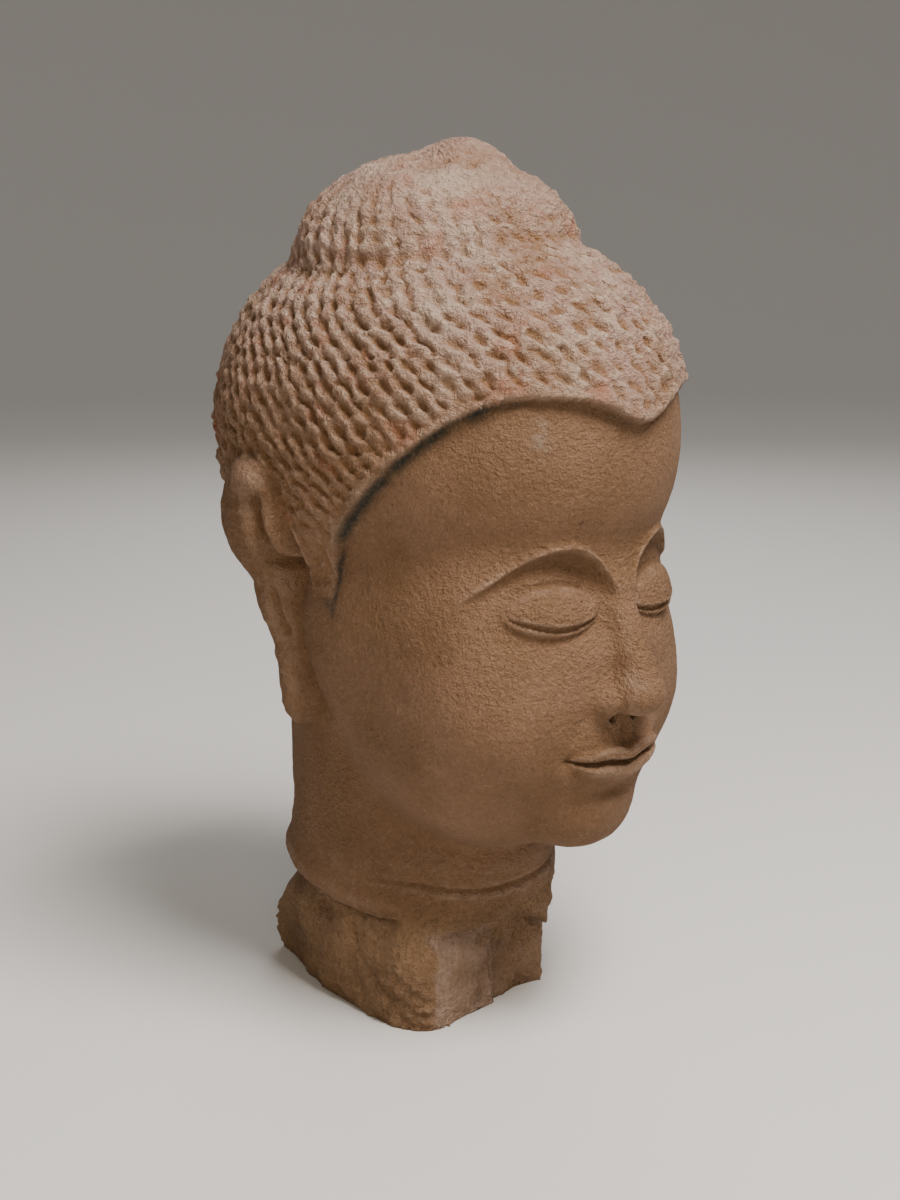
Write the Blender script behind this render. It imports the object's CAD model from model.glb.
import bpy
import numpy as np
from mathutils import Matrix


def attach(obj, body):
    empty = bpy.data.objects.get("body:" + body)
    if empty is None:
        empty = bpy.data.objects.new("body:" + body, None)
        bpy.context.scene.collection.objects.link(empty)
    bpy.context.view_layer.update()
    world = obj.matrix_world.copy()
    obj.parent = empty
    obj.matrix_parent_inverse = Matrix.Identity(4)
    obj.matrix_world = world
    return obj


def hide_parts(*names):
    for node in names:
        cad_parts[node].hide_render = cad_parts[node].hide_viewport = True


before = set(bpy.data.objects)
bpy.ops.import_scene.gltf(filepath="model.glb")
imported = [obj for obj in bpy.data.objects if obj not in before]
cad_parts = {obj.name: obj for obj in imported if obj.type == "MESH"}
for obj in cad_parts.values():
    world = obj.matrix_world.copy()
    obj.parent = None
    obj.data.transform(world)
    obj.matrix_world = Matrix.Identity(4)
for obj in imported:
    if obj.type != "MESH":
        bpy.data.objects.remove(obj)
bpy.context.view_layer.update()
print("frame loaded")

# Sizes in metres, face towards -Y, the head's left is +X.
head = {
    "skullCentre": (0, -0.031, 0.446),
    "skullRadii": (0.152, 0.187, 0.150),
    "knotCentre": (0, -0.021, 0.560),
    "knotRadii": (0.102, 0.102, 0.080),
    "neckHalfWidth": 0.100,
    "chin": 0.150,
    "noseBase": 0.2583,
    "brow": 0.3667,
    "eye": 0.3347,
    "mouth": 0.2222,
    "eyeWidth": 0.064,
    "eyeCentre": 0.054,
    "noseHalfWidth": 0.029,
    "mouthHalfWidth": 0.046,
    "capThickness": 0.007,
    "bandWidth": 0.009,
    "curlHeight": 0.0052,
    "earForward": -0.014,
    "ear": 0.372,
    "lobe": 0.285,
    "breakTop": 0.092,
    "archTop": 0.0765,
    "topWorn": (0.640, 0.655),
    "columns": 760,
    "rows": 660,
    "crowding": 0.40,
    "triangles": 190000,
}


def smooth(t):
    # 0 to 1 with level ends: 3 t squared less 2 t cubed
    t = np.clip(t, 0.0, 1.0)
    return t * t * (3 - 2 * t)


def ramp(x, low, high):
    # 0 at low, 1 at high, with soft ends
    return smooth((x - low) / (high - low))


def bell(x, width):
    # 1 in the middle, falling as exp(-(x / width) squared)
    return np.exp(-((x / width) ** 2))


def scatter(a, b, c, seed):
    # a repeatable number from 0 to 1 for each whole place: the fraction left of a large sine
    h = np.sin(a * 127.1 + b * 311.7 + c * 74.7 + seed * 19.19) * 43758.5453
    return h - np.floor(h)


def noise(p, size, seed):
    # value noise: numbers at the corners of a cubic lattice, blended smoothly between, -1 to 1
    cell = np.floor(p / size)
    part = smooth(p / size - cell)
    total = 0.0
    for dx in (0, 1):
        for dy in (0, 1):
            for dz in (0, 1):
                weight = np.abs(1 - dx - part[:, 0]) * np.abs(1 - dy - part[:, 1])
                weight = weight * np.abs(1 - dz - part[:, 2])
                total = total + weight * scatter(cell[:, 0] + dx, cell[:, 1] + dy, cell[:, 2] + dz, seed)
    return total * 2 - 1


def merge(a, b, blend):
    # smooth union of two distances
    h = np.clip(0.5 + 0.5 * (b - a) / blend, 0, 1)
    return b + (a - b) * h - blend * h * (1 - h)


def carve(a, b, blend):
    # distance a with shape b cut away
    return -merge(-a, b, blend)


def egg(p, centre, radii):
    # distance to an ellipsoid, good near its surface
    q = (p - np.array(centre)) / np.array(radii)
    near = np.sqrt((q**2).sum(-1)) + 1e-9
    slope = np.sqrt(((q / np.array(radii)) ** 2).sum(-1)) + 1e-9
    return near * (near - 1) / slope


def fullEgg(p, centre, radii, fullness):
    # ellipsoid whose shoulders swell where fullness is more than 2
    q = (p - np.array(centre)) / np.array(radii)
    flat = np.sqrt(q[:, 0] ** 2 + q[:, 1] ** 2)
    size = (flat**fullness + np.abs(q[:, 2]) ** fullness) ** (1 / fullness)
    return (size - 1) * radii[0]


def taper(p, start, end, startRadius, endRadius):
    # distance to a round-ended rod that tapers
    start = np.array(start)
    along = np.array(end) - start
    t = np.clip(((p - start) @ along) / (along @ along), 0, 1)
    away = p - start - t[:, None] * along
    return np.sqrt((away**2).sum(-1)) - startRadius - (endRadius - startRadius) * t


def mirrored(p):
    # the right side folded over on the left
    q = p.copy()
    q[:, 0] = np.abs(q[:, 0])
    return q


def azimuth(p):
    # degrees round the head, 0 in front and growing to the head's left
    return np.degrees(np.arctan2(p[:, 0], -p[:, 1] + 1e-9))


def faceMask(p):
    # forehead, cheeks, jaw, muzzle and chin as blended ellipsoids
    q = mirrored(p)
    face = egg(p, (0, -0.094, 0.302), (0.128, 0.116, 0.162))
    face = merge(face, egg(p, (0, -0.080, 0.230), (0.112, 0.105, 0.092)), 0.030)
    face = merge(face, egg(p, (0, -0.040, 0.318), (0.137, 0.088, 0.125)), 0.030)
    face = merge(face, egg(q, (0.056, -0.136, 0.258), (0.054, 0.052, 0.054)), 0.030)
    face = merge(face, egg(p, (0, -0.161, head["mouth"] + 0.002), (0.056, 0.044, 0.042)), 0.024)
    return merge(face, egg(p, (0, -0.168, head["chin"] + 0.027), (0.040, 0.030, 0.029)), 0.024)


def nose(p):
    # tapering bridge, a ball at the tip and two wings
    q = mirrored(p)
    base = head["noseBase"]
    bridge = taper(p, (0, -0.1920, head["brow"] - 0.010), (0, -0.2235, base + 0.021), 0.0105, 0.0140)
    tip = egg(p, (0, -0.2205, base + 0.0140), (0.0185, 0.0190, 0.0150))
    wing = egg(q, (head["noseHalfWidth"] - 0.0105, -0.2020, base + 0.0110), (0.0122, 0.0185, 0.0122))
    return merge(merge(bridge, tip, 0.010), wing, 0.006)


def neck(p):
    # round column that flares a little, then turns into a rounded square at its foot
    z = p[:, 2]
    foot = ramp(z, 0.088, 0.040)
    wide = head["neckHalfWidth"] + 0.004 * ramp(z, 0.150, 0.105) - 0.004 * foot
    square = 2 + 3.6 * foot
    x = np.abs(p[:, 0]) / wide
    y = np.abs(p[:, 1] - 0.004 * foot) / (wide * 1.05)
    column = ((x**square + y**square) ** (1 / square) - 1) * wide
    return np.maximum(column, z - 0.38)


def topKnot(p):
    # full dome with a low worn stump a little forward of its middle
    centre = np.array(head["knotCentre"])
    dome = fullEgg(p, centre, head["knotRadii"], 2.15)
    stump = egg(p, centre + (0.006, -0.019, 0.066), (0.030, 0.028, 0.023))
    return merge(dome, stump, 0.012)


def ears(p):
    # a shell with a slot behind its front rim, a worn knob at its top and a long slit lobe below
    q = mirrored(p)
    forward = head["earForward"]
    y = q[:, 1] - forward
    z = q[:, 2] - head["ear"]
    upper = egg(q, (0.145, forward + 0.030, head["ear"] + 0.020), (0.023, 0.036, 0.046))
    middle = egg(q, (0.128, forward + 0.027, head["ear"] - 0.026), (0.021, 0.022, 0.050))
    knob = egg(q, (0.155, forward + 0.024, head["ear"] + 0.047), (0.017, 0.019, 0.014))
    lobe = egg(q, (0.120, forward + 0.024, head["lobe"] + 0.006), (0.016, 0.014, 0.042))
    tip = egg(q, (0.118, forward + 0.022, head["lobe"] - 0.032), (0.0140, 0.0135, 0.024))
    ear = merge(merge(upper, middle, 0.014), knob, 0.006)
    ear = merge(merge(ear, lobe, 0.010), tip, 0.005)
    aside = y - 0.012 - 0.20 * (z - 0.010)
    slot = 0.0100 * bell(aside, 0.0050) * ramp(z, -0.022, -0.010) * ramp(z, 0.040, 0.030)
    rim = 0.0030 * bell(aside + 0.0110, 0.0040) * ramp(z, -0.034, -0.020) * ramp(z, 0.036, 0.024)
    slit = 0.0040 * bell(y - 0.017, 0.0026) * ramp(z, -0.076, -0.066) * ramp(z, -0.030, -0.042)
    return ear + (slot + slit - rim) * ramp(q[:, 0], 0.120, 0.130)


def hairline(angle):
    # height of the hair's edge round the head: a dip in the middle, a lappet before each ear
    side = np.abs(angle)
    front = 0.485 - 0.020 * bell(side, 9.5) - 0.105 * (np.clip(side - 25, 0, None) / 41) ** 1.65
    front = np.maximum(front - 0.030 * ramp(side, 65.0, 70.0), 0.334) + 0.050 * ramp(side, 78.5, 82.5)
    return front + (0.245 - front) * ramp(side, 88, 100)


def hairReach(p):
    # distance inside the hair's edge: height above it over the length of its slope
    angle = azimuth(p)
    slope = (hairline(angle + 1.0) - hairline(angle - 1.0)) / 0.006
    return (p[:, 2] - hairline(angle)) / np.sqrt(1 + np.minimum(slope**2, 9))


# rays from crown to underside: each starts on the head's axis at (y, z) and aims at (radius, height)
guide = np.array([
    (-0.021, 0.50, 0, 0.660),
    (-0.021, 0.50, 0.045, 0.657),
    (-0.021, 0.50, 0.095, 0.625),
    (-0.021, 0.49, 0.118, 0.572),
    (-0.023, 0.45, 0.140, 0.545),
    (-0.026, 0.42, 0.170, 0.480),
    (-0.030, 0.38, 0.178, 0.415),
    (-0.034, 0.33, 0.178, 0.348),
    (-0.034, 0.28, 0.175, 0.285),
    (-0.034, 0.245, 0.165, 0.240),
    (-0.034, 0.225, 0.155, 0.205),
    (-0.030, 0.215, 0.150, 0.165),
    (-0.020, 0.210, 0.120, 0.138),
    (-0.008, 0.195, 0.102, 0.118),
    (0, 0.12, 0.102, 0.070),
    (0, 0.06, 0.102, 0),
    (0, 0.06, 0, 0),
])
guideRun = np.concatenate([[0], np.cumsum(np.hypot(*np.diff(guide[:, 2:], axis=0).T))])
guideShare = guideRun / guideRun[-1]
lattice = {
    "rows": 61,
    "zones": [11.5, 16.5],
    "columns": [44, 56, 66],
    "slant": 0.32,
    "temple": 0.55,
}


def columnsIn(row):
    # more columns of curls lower down, so that every curl stays about one size
    upper, middle = lattice["zones"]
    return np.select([row < upper, row < middle], lattice["columns"][:2], lattice["columns"][2])


def curls(turn, row, place):
    # slanting ridges: height falls from 1 on the ridge to the groove beside it and swells once in each row;
    # neighbouring ridges swell out of step, and low bridges in the groove leave pits between them
    line = np.round(row)
    count = columnsIn(line)
    wobble = 0.24 * noise(place, 0.034, 31) + 0.12 * noise(place, 0.014, 33)
    fromTemple = np.mod(turn + 75 + 180, 360) - 180
    bend = np.clip(row - 14, 0, 11) * bell(fromTemple, 75)
    flow = lattice["slant"] * row + lattice["temple"] * bend
    slant = turn / 360 * count - flow + wobble
    ridge = np.round(slant)
    step = 0.55 * (scatter(np.mod(ridge, count), np.round(row / 6), 3, 5) - 0.5)
    along = row - line + step + 0.16 * noise(place, 0.026, 32)
    pitted = 0.35 + 0.65 * ramp(noise(place, 0.050, 35), -0.35, 0.35)
    aside = np.clip(2 * np.abs(slant - ridge) * (1 - 0.26 * np.sin(2 * np.pi * along)), 0, 1)
    crest = 1 - aside**1.7
    swelling = 0.5 + 0.5 * np.cos(2 * np.pi * along)
    valley = 0.34 * pitted * (0.5 + 0.5 * np.sin(2 * np.pi * along))
    size = 0.78 + 0.36 * scatter(np.mod(ridge, count), line, 0, 3)
    wear = 1 - 0.45 * ramp(noise(place, 0.060, 34), 0.1, 0.7)
    return wear * (size * crest * (0.74 + 0.26 * swelling) + (1 - crest) * valley)


def hair(p, lift):
    # raised cap, rolled band at its edge, then the curls right behind it, worn at the top and low down
    reach = hairReach(p)
    roll = bell(reach - 0.5 * head["bandWidth"], 0.42 * head["bandWidth"])
    band = head["capThickness"] * ramp(reach, -0.0010, 0.0016) + 0.0012 * roll
    worn = 1 - 0.38 * ramp(p[:, 2], 0.535, 0.575) - 0.42 * ramp(p[:, 2], 0.600, 0.635)
    start = head["bandWidth"]
    inside = ramp(reach, start - 0.0016, start + 0.0014)
    points = (head["curlHeight"] * lift - 0.0028) * inside
    lower = 1 - ramp(p[:, 2], 0.30, 0.24)
    rubbed = 1 - 0.50 * ramp(p[:, 2], 0.455, 0.375)
    return band * (0.25 + 0.75 * lower) + points * worn * rubbed * (0.35 + 0.65 * lower)


def browRelief(x, z):
    # arched ridge over the eye, and the socket that falls away below it
    t = np.clip((x - 0.009) / 0.104, 0, 1.2)
    browLine = head["brow"] - 0.018 + 0.034 * np.sin(np.pi * np.clip(t, 0, 1) ** 0.78) - 0.006 * t
    over = z - browLine
    brow = 0.0034 * bell(over, 0.0034) * ramp(x, 0.117, 0.096) * ramp(x, 0.003, 0.010)
    deep = 0.0040 + 0.0060 * bell((x - 0.030) / 0.024, 1)
    socket = -deep * ramp(over, 0.001, -0.011) * ramp(x, 0.112, 0.080) * ramp(z, 0.300, 0.328)
    return brow + socket


def eyeRelief(x, z):
    # domed ball, lids that meet in a thin slit, and a crease over the upper lid
    eye = head["eye"]
    u = (x - head["eyeCentre"]) / (0.5 * head["eyeWidth"])
    across = np.clip(1 - u**2, 0, 1)
    lash = eye - 0.0035 - 0.0050 * across + 0.0022 * u
    tall = np.where(z > eye, 0.0190, 0.0165)
    dome = np.clip(1 - (np.abs(u) / 1.10) ** 2.2 - (np.abs(z - eye) / tall) ** 2.2, 0, 1)
    ball = 0.0088 * dome**0.62
    under = lash - z
    slit = 0.0040 * across**0.6
    open = ramp(under, -0.0004, 0.0005) * ramp(under, slit + 0.0008, slit - 0.0002) * (across > 0)
    lidEdge = 0.0009 * bell(under + 0.0016, 0.0013) * across**0.5
    lowerLid = 0.0008 * bell(under - slit - 0.0015, 0.0014) * across**0.5
    creaseLine = eye + 0.0205 * np.sqrt(np.clip(1.15 - u**2, 0, 2)) - 0.0015
    crease = -0.0013 * bell(z - creaseLine, 0.0016) * ramp(np.abs(u), 1.10, 0.85)
    return ball - 0.0024 * open + lidEdge + lowerLid + crease


def mouthRelief(x, z):
    # two full lips on either side of a waved parting, and a small dip at the corner
    mouth = head["mouth"]
    v = x / head["mouthHalfWidth"]
    wave = np.cos(2.2 * np.pi * np.clip(v, 0, 1)) * ramp(v, 0.9, 0.3)
    rise = z - (mouth - 0.0012 * wave + 0.0050 * np.clip(v, 0, 1.3) ** 2.6)
    full = np.clip(1 - v**2, 0, 1)
    topTall = 0.0130 * full**0.55 * (1 - 0.20 * bell(x, 0.0050)) + 1e-4
    lowTall = 0.0165 * full**0.50 + 1e-4
    a = rise / topTall
    b = -rise / lowTall
    upper = 0.0074 * full**0.40 * ramp(a, 1.18, 0.72) * ramp(a, -0.05, 0.35)
    upper = upper * (1 + 0.16 * bell(a - 0.85, 0.2))
    lower = 0.0086 * full**0.40 * ramp(b, 1.15, 0.50) * ramp(b, -0.05, 0.40)
    parting = -0.0030 * bell(rise, 0.0013) * ramp(v, 1.10, 0.95)
    fromCorner = x - head["mouthHalfWidth"] - 0.0005
    corner = -0.0030 * bell(fromCorner, 0.0050) * bell(z - mouth - 0.005, 0.0060)
    return upper + lower + parting + corner


def softHollows(x, z):
    # groove with two ridges under the nose, dip above the chin, fold beside the nose
    mouth = head["mouth"]
    groove = -0.0018 * bell(x, 0.0040) * bell(z - (mouth + 0.0235), 0.0085)
    ridges = 0.0009 * bell(x - 0.0068, 0.0025) * bell(z - (mouth + 0.0220), 0.0085)
    chinDip = -0.0036 * bell(x, 0.024) * bell(z - (mouth - 0.0255), 0.0065)
    foldLine = head["noseHalfWidth"] + 0.008 + 0.55 * (head["noseBase"] - z)
    fold = -0.0014 * bell(x - foldLine, 0.0060) * bell(z - (head["noseBase"] - 0.012), 0.018)
    return groove + ridges + chinDip + fold


def faceRelief(p):
    # height above the mask, alike on both sides and only in front
    x = np.abs(p[:, 0])
    z = p[:, 2]
    front = ramp(-p[:, 1], 0.10, 0.13)
    return front * (browRelief(x, z) + eyeRelief(x, z) + mouthRelief(x, z) + softHollows(x, z))


def neckLines(p, side, jag):
    # a cut line round the front, then on the head's right a crease with a hollow and a split below it
    x, y, z = p[:, 0], p[:, 1], p[:, 2]
    angle = azimuth(p)
    over = z - 0.101 - 0.010 * ramp(np.abs(angle + 4), 10, 60)
    fold = 0.0028 * bell(over, 0.0017) + 0.0012 * ramp(over, -0.001, 0.001) * ramp(over, 0.016, 0.002)
    fold = fold * ramp(np.abs(angle), 72, 45)
    crease = 0.0052 * bell(side + 0.001, 0.0022) - 0.0030 * bell(side - 0.010, 0.008)
    hollow = 0.0042 + 0.0055 * ramp(y, -0.020, 0.045)
    crease = crease + hollow * ramp(side, 0.001, -0.001) * ramp(side, -0.036, -0.006)
    bend = y + 0.076 - 0.80 * z - 0.009 * noise(p, 0.026, 42)
    split = 0.0030 * bell(bend, 0.0045) * ramp(z, 0.080, 0.064) * (0.45 + 0.55 * ramp(jag, -0.3, 0.3))
    onSide = ramp(-x, 0.055, 0.075) * ramp(y, -0.070, -0.052)
    return fold + (crease + split) * onSide


def archRise(x, z):
    # height above the arched rim of the scar: a parabola, steeper towards the head's left
    return z - head["archTop"] + 3.2 * (x + 0.030) ** 2 + 9 * np.clip(x - 0.005, 0, None) ** 2


def neckBreaks(p, form):
    # the neck's lines, then what is broken off: rear corner, front scar, right flank, left corner, back
    x, y, z = p[:, 0], p[:, 1], p[:, 2]
    jag = noise(p, 0.016, 41)
    side = z - 0.089 - 0.16 * y - 0.002 * jag
    form = form + neckLines(p, side, jag)
    rear = ramp((y - x) * np.sqrt(0.5), 0.082, 0.104) * ramp(side, 0.001, -0.002)
    form = form + (0.011 * ramp(z, 0.026, 0.058) - 0.004 * bell(z - 0.012, 0.012)) * rear
    arch = archRise(x, z) - 0.0025 * jag
    step = 0.005 * ramp(x, -0.013, -0.010) * ramp(x, 0.05, 0.02)
    front = y + 0.0925 - 0.06 * (x + 0.017) - 0.07 * z - step - 0.0015 * jag
    front = np.maximum(front, -0.9 * (x + 0.077 + 0.003 * jag))
    form = carve(form, np.maximum(front, arch * 0.7), 0.0010)
    flank = -x - 0.092 - 0.12 * np.clip(-0.010 - y, -0.1, 0.06) - 0.22 * np.clip(z, 0, 0.05)
    flank = flank + 0.26 * np.clip(y - 0.02, 0, None)
    form = carve(form, np.maximum(-flank, side + 0.002), 0.0012)
    corner = (x - y) * np.sqrt(0.5) - 0.095 - 0.30 * np.clip(z - 0.050, 0, None)
    form = carve(form, -corner, 0.004)
    return carve(form, egg(p, (0.060, 0.166, 0.0), (0.110, 0.062, 0.044)), 0.004)


def headForm(p, lift):
    # distance from the carved surface, less than 0 inside the stone
    skull = fullEgg(p, head["skullCentre"], head["skullRadii"], 2.12)
    knot = topKnot(p)
    seam = 0.0026 * bell(skull - knot, 0.007) * ramp(p[:, 2], 0.50, 0.53)
    form = merge(skull, knot, 0.011) + seam - hair(p, lift)
    form = merge(form, faceMask(p), 0.012) - faceRelief(p)
    form = merge(form, nose(p), 0.010)
    nostril = egg(mirrored(p), (0.0105, -0.2030, head["noseBase"] - 0.0036), (0.0046, 0.0068, 0.0038))
    form = carve(form, nostril, 0.003)
    form = merge(form, ears(p), 0.004)
    nape = 0.008 + 0.022 * ramp(p[:, 1], -0.03, 0.03)
    form = merge(form, neckBreaks(p, neck(p)), nape)
    return np.maximum(form, -p[:, 2])


def rays(share, turn):
    # where each ray starts, the way it points and where it aims, all read off along the guide
    y, z, radius, height = (np.interp(share, guideShare, column) for column in guide.T)
    angle = np.radians(turn)
    start = np.stack([0 * share, y, z], -1)
    place = np.stack([np.sin(angle) * radius, -np.cos(angle) * radius, height], -1)
    aim = place - start * (0, 0, 1)
    aim /= np.linalg.norm(aim, axis=1)[:, None]
    return start, aim, place


walk = {
    "outside": 0.28,
    "stride": 0.85,
    "coarseSteps": 32,
    "fineSteps": 12,
    "standOff": 0.004,
}


def surface(share, turn, reach, steps):
    # walks in along each ray by most of the distance still to go, until it meets the stone
    start, aim, place = rays(share, turn)
    lift = curls(turn, share * lattice["rows"], place)
    for _ in range(steps):
        reach = reach - walk["stride"] * headForm(start + aim * reach[:, None], lift)
    return start + aim * reach[:, None], reach, aim


def carvedSurface():
    # first on a coarse grid from outside, then from there on the fine one, whose columns crowd to the face
    coarseRows, coarseColumns = head["rows"] // 6, head["columns"] // 5
    coarseShare = np.linspace(0, 1, coarseRows)
    coarseTurn = np.linspace(-180, 180, coarseColumns)
    share = np.repeat(coarseShare, coarseColumns)
    turn = np.tile(coarseTurn, coarseRows)
    outside = np.full(len(share), walk["outside"])
    reach = surface(share, turn, outside, walk["coarseSteps"])[1]
    rowShare = np.linspace(0.0015, 0.9985, head["rows"])
    even = np.linspace(-1, 1, head["columns"], endpoint=False)
    columnTurn = 180 * (even - head["crowding"] * np.sin(np.pi * even) / np.pi)
    coarse = reach.reshape(coarseRows, coarseColumns)
    byRow = np.array([np.interp(columnTurn, coarseTurn, line) for line in coarse])
    fine = np.array([np.interp(rowShare, coarseShare, line) for line in byRow.T]).T
    share = np.repeat(rowShare, head["columns"])
    turn = np.tile(columnTurn, head["rows"])
    points, _, aim = surface(share, turn, fine.ravel() + walk["standOff"], walk["fineSteps"])
    return points, aim


def gridMesh(name, points, rows, columns, top, bottom):
    # quads between neighbouring rows, the last column joined to the first, a fan at either end
    count = rows * columns
    here = np.arange(count - columns).reshape(rows - 1, columns)
    right = np.roll(here, -1, axis=1)
    quads = np.stack([here, here + columns, right + columns, right], -1).reshape(-1, 4)
    ring = np.arange(columns)
    topFan = np.stack([np.full(columns, count), ring, np.roll(ring, -1)], -1)
    last = ring + count - columns
    bottomFan = np.stack([np.full(columns, count + 1), np.roll(last, -1), last], -1)
    mesh = bpy.data.meshes.new(name)
    places = np.concatenate([points, [top], [bottom]])
    mesh.vertices.add(len(places))
    mesh.vertices.foreach_set("co", places.astype(np.float32).ravel())
    corners = np.concatenate([quads.ravel(), topFan.ravel(), bottomFan.ravel()])
    sizes = np.concatenate([np.full(len(quads), 4), np.full(2 * columns, 3)])
    mesh.loops.add(len(corners))
    mesh.loops.foreach_set("vertex_index", corners.astype(np.int32))
    mesh.polygons.add(len(sizes))
    mesh.polygons.foreach_set("loop_start", (np.cumsum(sizes) - sizes).astype(np.int32))
    mesh.update(calc_edges=True)
    mesh.validate()
    return mesh


def broken(p):
    # 1 on the broken foot, 0 above it
    return ramp(p[:, 2], head["breakTop"], head["breakTop"] - 0.014)


def bandMask(p, reach, onEar, wide):
    # 1 along the middle of the hair's rolled edge, but not on the ear or the nape
    fromMiddle = reach - 0.5 * head["bandWidth"]
    return bell(fromMiddle, wide * head["bandWidth"]) * (1 - onEar) * ramp(p[:, 2], 0.27, 0.32)


def breakRelief(p):
    # facets and grit of the broken foot, less a thin crack in its front
    facet = np.abs(noise(p, 0.028, 9)) + 0.6 * np.abs(noise(p, 0.012, 10))
    rough = 0.0038 * (0.5 - facet) + 0.0016 * noise(p, 0.006, 11) + 0.0011 * noise(p, 0.0030, 12)
    fromCrack = np.abs(p[:, 0] + 0.014 + 0.005 * noise(p, 0.02, 13))
    crack = 0.0042 * bell(fromCrack, 0.0014) * ramp(-p[:, 1], 0.05, 0.07) * ramp(p[:, 2], 0.062, 0.050)
    return (rough - crack) * broken(p)


def weathering(p, inHair, onEar):
    # worn swells, pecked dimples and grain from noise of several sizes, rougher in the hair and on breaks
    swell = 0.0009 * noise(p, 0.036, 5) + 0.0005 * noise(p, 0.015, 6)
    peck = 0.00035 * noise(p, 0.006, 7) + 0.00025 * noise(p, 0.003, 8)
    dent = np.maximum(0, noise(p, 0.008, 16) - 0.55) * 0.0028 * ramp(p[:, 2], 0.20, 0.16) * (1 - inHair)
    worn = 0.0012 * noise(p, 0.011, 14) + 0.0014 * noise(p, 0.0060, 15) + 0.0008 * noise(p, 0.0032, 17)
    inFace = ramp(-p[:, 1], 0.12, 0.16) * ramp(p[:, 2], 0.14, 0.17) * (1 - inHair)
    edge = bandMask(p, hairReach(p), onEar, 0.7)
    chips = edge * (0.0022 * ramp(noise(p, 0.014, 18), 0.10, 0.7) + 0.0007 * noise(p, 0.005, 19))
    fromNotch = np.hypot(p[:, 0] + 0.084, 1.5 * (p[:, 2] - 0.482)) + 0.002 * noise(p, 0.006, 20)
    notch = 0.0034 * bell(fromNotch, 0.011) * edge * (p[:, 1] < 0)
    carved = worn * np.maximum(inHair, 0.6 * onEar) - chips - notch
    change = swell * (1 - 0.6 * inFace) + peck * (1 - 0.4 * inFace) + breakRelief(p) + carved - dent
    return change * (1 - 0.9 * ramp(p[:, 2], *head["topWorn"]))


def addFloats(mesh, name, values):
    # one number for each point, which the material reads by name
    layer = mesh.attributes.new(name, "FLOAT", "POINT")
    layer.data.foreach_set("value", values.astype(np.float32))


def blurred(grid, reach):
    # mean over a square of the grid's neighbours, the last column and row beside the first
    total = sum(np.roll(grid, step, axis=1) for step in range(-reach, reach + 1))
    total = sum(np.roll(total, step, axis=0) for step in range(-reach, reach + 1))
    return total / (2 * reach + 1) ** 2


def reliefOf(points, aim, reach):
    # how far the surface stands above its neighbourhood, measured along the rays
    shape = (head["rows"], head["columns"], 3)
    grid = points.reshape(shape)
    mean = np.stack([blurred(grid[:, :, k], reach) for k in range(3)], -1)
    return ((grid - mean) * aim.reshape(shape)).sum(-1).ravel()


def sootMask(points, reach, onEar):
    # dark line just under the hair's edge, fullest along the right temple
    angle = azimuth(points)
    sooty = ramp(angle, -74, -68) * ramp(angle, -16, -32) + 0.30 * ramp(np.abs(angle), 70, 60)
    sooty = sooty + 0.40 * ramp(np.abs(angle), 68, 72) * ramp(np.abs(angle), 84, 80)
    return bell(reach + 0.0020, 0.0038) * sooty * (1 - onEar)


def scarMasks(points):
    # the front scar's pale facet, strongest at the head's right, and the shade under its arched rim
    x, y, z = points.T
    ragged = x + 0.003 * noise(points, 0.014, 45)
    facet = ramp(-y, 0.080, 0.086) * ramp(ragged, -0.080, -0.077) * ramp(z, 0.076, 0.072)
    facet = facet * (0.40 + 0.60 * ramp(ragged, -0.008, -0.014))
    rim = np.abs(archRise(x, z) + 0.002)
    under = bell(rim, 0.0065) * ramp(-y, 0.080, 0.088) * ramp(x, -0.078, -0.066) * ramp(x, 0.060, 0.045)
    return facet, under


def stoneMasks(points, aim, reach, inHair, onEar):
    # where each tint of the stone goes, from 0 to 1
    x, y, z = points.T
    band = bandMask(points, reach, onEar, 0.5)
    facet, under = scarMasks(points)
    flush = inHair * (1 - 0.6 * band) * ramp(z + 0.22 * x - 0.10 * y, 0.40, 0.56)
    knob = bell(np.hypot(y - 0.010, z - 0.419), 0.016) * onEar
    fromStain = np.hypot((x + 0.074) / 0.6, z - 0.458) + 0.003 * noise(points, 0.006, 44)
    return {
        "inHair": inHair,
        "band": band,
        "soot": sootMask(points, reach, onEar),
        "stain": bell(fromStain, 0.0085) * (y < -0.12),
        "facet": facet,
        "broken": broken(points),
        "shade": np.maximum(under, 0.45 * onEar),
        "flush": np.maximum(flush, 0.5 * knob),
        "fine": np.clip(0.5 + reliefOf(points, aim, 2) / 0.0016, 0, 1),
        "broad": np.clip(0.5 + reliefOf(points, aim, 6) / 0.006, 0, 1),
    }


def fewerTriangles(piece, triangles):
    # thins the grid where it is flat, keeping the masks
    fewer = piece.modifiers.new("fewer", "DECIMATE")
    fewer.ratio = triangles / (2 * head["rows"] * head["columns"])
    ready = piece.evaluated_get(bpy.context.evaluated_depsgraph_get())
    thinned = bpy.data.meshes.new_from_object(ready)
    piece.modifiers.clear()
    full = piece.data
    piece.data = thinned
    bpy.data.meshes.remove(full)
    return thinned


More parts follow.
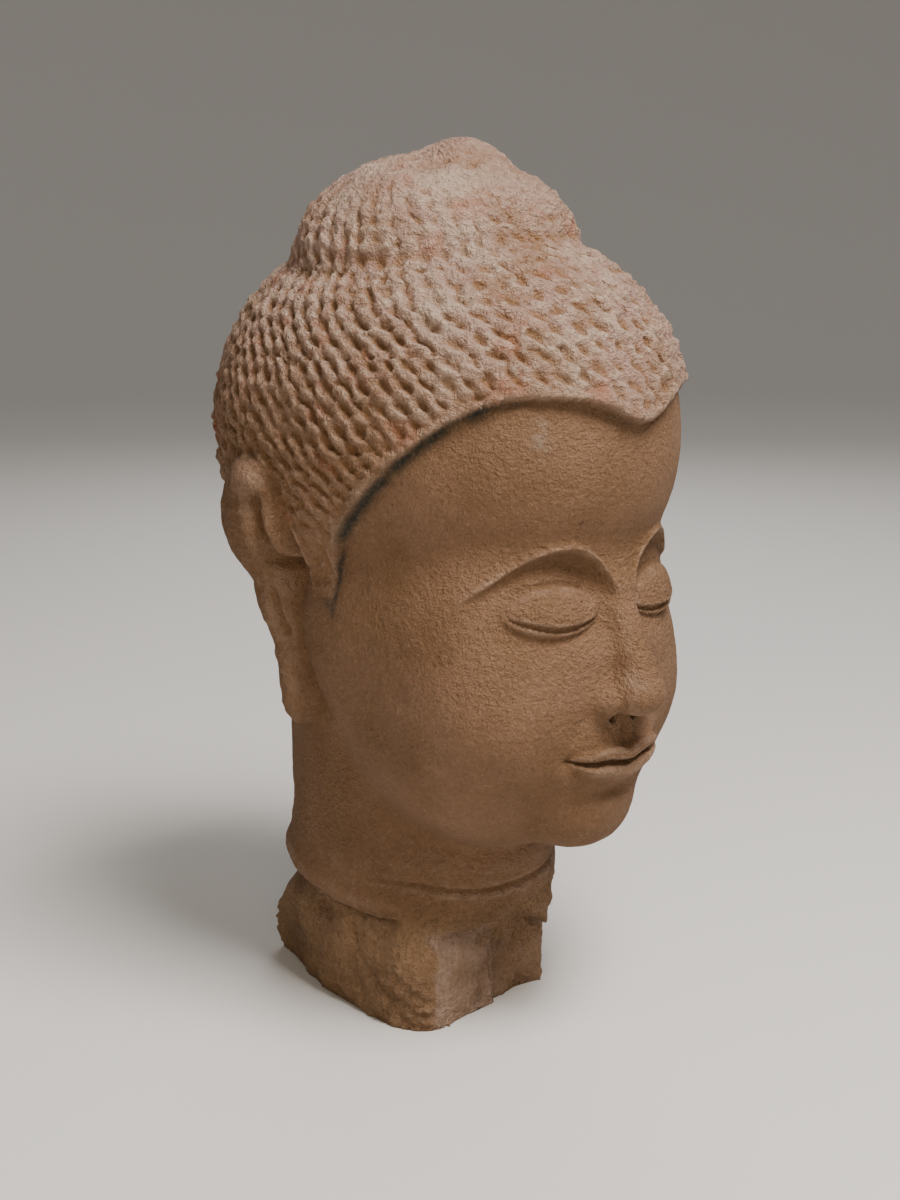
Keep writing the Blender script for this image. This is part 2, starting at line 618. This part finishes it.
def buildHead():
    points, aim = carvedSurface()
    print("surface found", points.min(0).round(3), points.max(0).round(3))
    reach = hairReach(points)
    onEar = ramp(ears(points), 0.004, 0.0005) * (points[:, 2] > 0.2)
    inHair = ramp(reach, 0.0, 0.003) * (1 - onEar) * ramp(points[:, 2], 0.240, 0.300)
    offFloor = points[:, 2] > 0.0005
    points = points + aim * (weathering(points, inHair, onEar) * offFloor)[:, None]
    points[:, 2] = np.maximum(points[:, 2], 0)
    top = points[: head["columns"]].mean(0)
    bottom = points[-head["columns"]:].mean(0)
    mesh = gridMesh("carvedHead", points, head["rows"], head["columns"], top, bottom)
    for name, values in stoneMasks(points, aim, reach, inHair, onEar).items():
        addFloats(mesh, name, np.concatenate([values, values[:1], values[-1:]]))
    piece = bpy.data.objects.new("carvedHead", mesh)
    bpy.context.scene.collection.objects.link(piece)
    thinned = fewerTriangles(piece, head["triangles"])
    thinned.polygons.foreach_set("use_smooth", np.ones(len(thinned.polygons), bool))
    print("head", len(thinned.polygons), "triangles", len(thinned.attributes), "attributes")
    return piece


stone = {
    "base": (0.248, 0.141, 0.080, 1),
    "dark": (0.185, 0.100, 0.048, 1),
    "hair": (0.300, 0.172, 0.098, 1),
    "rosy": (0.410, 0.268, 0.216, 1),
    "ochre": (0.300, 0.150, 0.058, 1),
    "pale": (0.560, 0.425, 0.320, 1),
    "pit": (0.130, 0.068, 0.032, 1),
    "soot": (0.035, 0.036, 0.028, 1),
    "red": (0.36, 0.105, 0.050, 1),
    "fresh": (0.455, 0.278, 0.142, 1),
    "facet": (0.500, 0.350, 0.265, 1),
    "cream": (0.560, 0.450, 0.350, 1),
    "stain": (0.420, 0.385, 0.320, 1),
    "roughness": 0.9,
    "shine": 0.28,
    "grainScale": 270,
    "grainStrength": 0.9,
    "grainDepth": 0.0050,
}


class Wiring:
    # short names for adding nodes and links
    def __init__(self, tree):
        self.tree = tree
        self.place = self.add("ShaderNodeTexCoord").outputs["Object"]

    def add(self, kind, **settings):
        node = self.tree.nodes.new(kind)
        for key, value in settings.items():
            setattr(node, key, value)
        return node

    def join(self, source, target):
        self.tree.links.new(source, target)

    def mask(self, name):
        return self.add("ShaderNodeAttribute", attribute_name=name).outputs["Fac"]

    def texture(self, scale, detail, roughness=0.55):
        node = self.add("ShaderNodeTexNoise")
        node.inputs["Scale"].default_value = scale
        node.inputs["Detail"].default_value = detail
        node.inputs["Roughness"].default_value = roughness
        self.join(self.place, node.inputs["Vector"])
        return node.outputs["Fac"]

    def stretch(self, source, low, high, top=1.0):
        # 0 at low, top at high, straight between and no further
        node = self.add("ShaderNodeMapRange")
        self.join(source, node.inputs["Value"])
        node.inputs["From Min"].default_value = low
        node.inputs["From Max"].default_value = high
        node.inputs["To Max"].default_value = top
        return node.outputs["Result"]

    def reckon(self, operation, first, second):
        node = self.add("ShaderNodeMath", operation=operation)
        for socket, value in zip(node.inputs, (first, second)):
            if isinstance(value, (int, float)):
                socket.default_value = value
            else:
                self.join(value, socket)
        return node.outputs[0]

    def plus(self, first, second):
        return self.reckon("ADD", first, second)

    def times(self, first, second):
        return self.reckon("MULTIPLY", first, second)

    def blend(self, factor, first, second):
        node = self.add("ShaderNodeMix", data_type="RGBA")
        self.join(factor, node.inputs[0])
        for socket, value in ((node.inputs[6], first), (node.inputs[7], second)):
            if isinstance(value, tuple):
                socket.default_value = value
            else:
                self.join(value, socket)
        return node.outputs[2]

    def tint(self, colour, mask, patches, name):
        # lays one of the stone's colours where both the mask and the patches of noise are
        return self.blend(self.times(mask, patches), colour, stone[name])


def hairColour(w, colour):
    # rosy and cream crests, ochre and red in the hollows, pale worn tops
    inHair = w.mask("inHair")
    flush = w.mask("flush")
    hollow = w.stretch(w.mask("broad"), 0.50, 0.22)
    crest = w.stretch(w.mask("fine"), 0.52, 0.80)
    colour = w.blend(w.times(inHair, 0.75), colour, stone["hair"])
    colour = w.tint(colour, flush, w.stretch(w.texture(18, 3), 0.25, 0.60), "rosy")
    colour = w.tint(colour, w.times(inHair, hollow), 0.70, "ochre")
    colour = w.tint(colour, flush, w.stretch(w.texture(15, 4), 0.46, 0.66, 0.60), "cream")
    colour = w.tint(colour, inHair, w.stretch(w.texture(26, 3), 0.57, 0.70, 0.45), "red")
    colour = w.tint(colour, hollow, 0.30, "dark")
    worn = w.times(crest, w.stretch(w.texture(60, 3), 0.32, 0.60, 0.66))
    colour = w.tint(colour, worn, w.plus(w.times(flush, 0.75), 0.30), "pale")
    return w.tint(colour, w.mask("band"), w.stretch(w.texture(50, 3), 0.45, 0.66, 0.28), "pale")


def damageColour(w, colour):
    # the lighter broken foot with its facet, soot and stain by the hair's edge, shade in the hollows
    colour = w.tint(colour, w.mask("broken"), w.stretch(w.texture(22, 4), 0.30, 0.60, 0.62), "fresh")
    colour = w.tint(colour, w.mask("facet"), w.stretch(w.texture(40, 3), 0.25, 0.60, 0.80), "facet")
    colour = w.tint(colour, w.mask("soot"), w.stretch(w.texture(38, 4), 0.30, 0.52, 0.9), "soot")
    colour = w.tint(colour, w.mask("stain"), w.stretch(w.texture(120, 3), 0.38, 0.66, 0.60), "stain")
    return w.tint(colour, w.mask("shade"), w.stretch(w.texture(30, 3), 0.25, 0.60, 0.85), "dark")


def sandstoneMaterial():
    # mottled brown under the hair's and the damage's tints, then pitted grain in colour and in height
    material = bpy.data.materials.new("sandstone")
    material.use_nodes = True
    shader = material.node_tree.nodes["Principled BSDF"]
    w = Wiring(material.node_tree)
    colour = w.blend(w.stretch(w.texture(14, 4), 0.35, 0.68), stone["dark"], stone["base"])
    colour = damageColour(w, hairColour(w, colour))
    grain = w.texture(stone["grainScale"], 3, 0.75)
    pitting = w.plus(0.30, w.times(w.mask("broken"), 0.12))
    colour = w.tint(colour, pitting, w.stretch(grain, 0.44, 0.66), "pit")
    colour = w.blend(w.stretch(w.texture(520, 2), 0.56, 0.72, 0.15), colour, stone["pale"])
    w.join(colour, shader.inputs["Base Color"])
    shader.inputs["Roughness"].default_value = stone["roughness"]
    shader.inputs["Specular IOR Level"].default_value = stone["shine"]
    heights = w.plus(w.times(grain, -1.8), w.times(w.texture(150, 3), 0.7))
    rougher = w.plus(1.0, w.plus(w.times(w.mask("broken"), 1.2), w.times(w.mask("inHair"), 0.2)))
    bump = w.add("ShaderNodeBump")
    bump.inputs["Strength"].default_value = stone["grainStrength"]
    bump.inputs["Distance"].default_value = stone["grainDepth"]
    w.join(w.times(heights, rougher), bump.inputs["Height"])
    w.join(bump.outputs["Normal"], shader.inputs["Normal"])
    return material


def plainMaterial(name, colour, roughness):
    # one even colour
    material = bpy.data.materials.new(name)
    material.use_nodes = True
    shader = material.node_tree.nodes["Principled BSDF"]
    shader.inputs["Base Color"].default_value = colour
    shader.inputs["Roughness"].default_value = roughness
    return material


carvedHead = buildHead()
carvedHead.data.materials.append(sandstoneMaterial())
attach(carvedHead, "root")
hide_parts("stone_head")
print("head dressed")

studio = {
    "flat": 4.0,
    "curve": 3.5,
    "rings": 60,
    "sectors": 96,
    "aim": (0, -0.03, 0.36),
    "floorColour": (0.68, 0.67, 0.65, 1),
    "keyPlace": (-0.10, -1.20, 2.30),
    "keyPower": 101,
    "keySize": 1.0,
    "keyColour": (1.0, 0.94, 0.90),
    "fillPlace": (-1.7, -1.5, 0.9),
    "fillPower": 17,
    "fillSize": 1.6,
    "fillColour": (1.0, 0.82, 0.60),
    "rimPlace": (1.6, 1.4, 1.6),
    "rimPower": 16,
    "rimSize": 1.2,
    "rimColour": (1.0, 1.0, 1.0),
    "world": (0.64, 0.61, 0.57, 1),
    "worldStrength": 0.32,
}


def coveSurface():
    # flat floor that curves up all round: height grows as a quarter circle beyond the flat part
    out = np.linspace(0, 2, studio["rings"])
    around = np.linspace(0, 2 * np.pi, studio["sectors"], endpoint=False)
    across, angle = np.meshgrid(out, around)
    bend = np.clip(across - 1, 0, 1) * np.pi / 2
    radius = studio["flat"] * np.clip(across, 0, 1) + studio["curve"] * np.sin(bend)
    height = studio["curve"] * (1 - np.cos(bend))
    points = np.stack([radius * np.cos(angle), radius * np.sin(angle), height], -1)[:, 1:]
    rows, columns = points.shape[:2]
    here = np.arange(rows * columns).reshape(rows, columns)
    beside = np.roll(here, -1, axis=0)
    quads = np.stack([here[:, :-1], here[:, 1:], beside[:, 1:], beside[:, :-1]], -1).reshape(-1, 4)
    fan = np.stack([np.full(rows, rows * columns), here[:, 0], beside[:, 0]], -1)
    mesh = bpy.data.meshes.new("cove")
    mesh.from_pydata(points.reshape(-1, 3).tolist() + [[0, 0, 0]], [], quads.tolist() + fan.tolist())
    mesh.polygons.foreach_set("use_smooth", np.ones(len(mesh.polygons), bool))
    cove = bpy.data.objects.new("cove", mesh)
    bpy.context.scene.collection.objects.link(cove)
    mesh.materials.append(plainMaterial("paleFloor", studio["floorColour"], 0.9))
    return cove


def aimedFrom(place, side, up, ahead):
    # a camera's or a lamp's own frame looks along its -Z
    turned = Matrix([list(row) for row in np.stack([side, up, -ahead], -1)]).to_4x4()
    turned.translation = place
    return turned


def softLight(name):
    # square lamp aimed at the middle of the head
    place = studio[name + "Place"]
    data = bpy.data.lights.new(name, "AREA")
    data.energy = studio[name + "Power"]
    data.size = studio[name + "Size"]
    data.color = studio[name + "Colour"]
    ahead = np.array(studio["aim"]) - np.array(place)
    ahead = ahead / np.linalg.norm(ahead)
    side = np.cross(ahead, (0, 0, 1))
    side /= np.linalg.norm(side)
    lamp = bpy.data.objects.new(name, data)
    lamp.matrix_world = aimedFrom(place, side, np.cross(side, ahead), ahead)
    bpy.context.scene.collection.objects.link(lamp)


coveSurface()
for name in ("key", "fill", "rim"):
    softLight(name)
world = bpy.data.worlds.new("studio")
world.use_nodes = True
world.node_tree.nodes["Background"].inputs["Color"].default_value = studio["world"]
world.node_tree.nodes["Background"].inputs["Strength"].default_value = studio["worldStrength"]
bpy.context.scene.world = world
print("studio lit")

# the photo's view, in degrees, metres and, for the lens and its film, millimetres
lens = {
    "place": (-1.0069, -1.0395, 0.639),
    "heading": 45.0,
    "pitch": 13.0,
    "roll": -0.18,
    "length": 57.0,
    "film": 36.0,
}


def photoCamera():
    # looks along its heading in the part's frame, tipped down by its pitch
    heading, pitch, roll = (np.radians(lens[key]) for key in ("heading", "pitch", "roll"))
    ahead = np.array([np.cos(heading) * np.cos(pitch), np.sin(heading) * np.cos(pitch), -np.sin(pitch)])
    right = np.array([np.sin(heading), -np.cos(heading), 0.0])
    up = np.cross(right, ahead)
    turnedRight = np.cos(roll) * right + np.sin(roll) * up
    turnedUp = np.cos(roll) * up - np.sin(roll) * right
    data = bpy.data.cameras.new("photoCamera")
    data.lens = lens["length"]
    data.sensor_width = lens["film"]
    data.sensor_fit = "AUTO"
    camera = bpy.data.objects.new("photoCamera", data)
    camera.matrix_world = aimedFrom(lens["place"], turnedRight, turnedUp, ahead)
    bpy.context.scene.collection.objects.link(camera)
    bpy.context.scene.camera = camera


photoCamera()
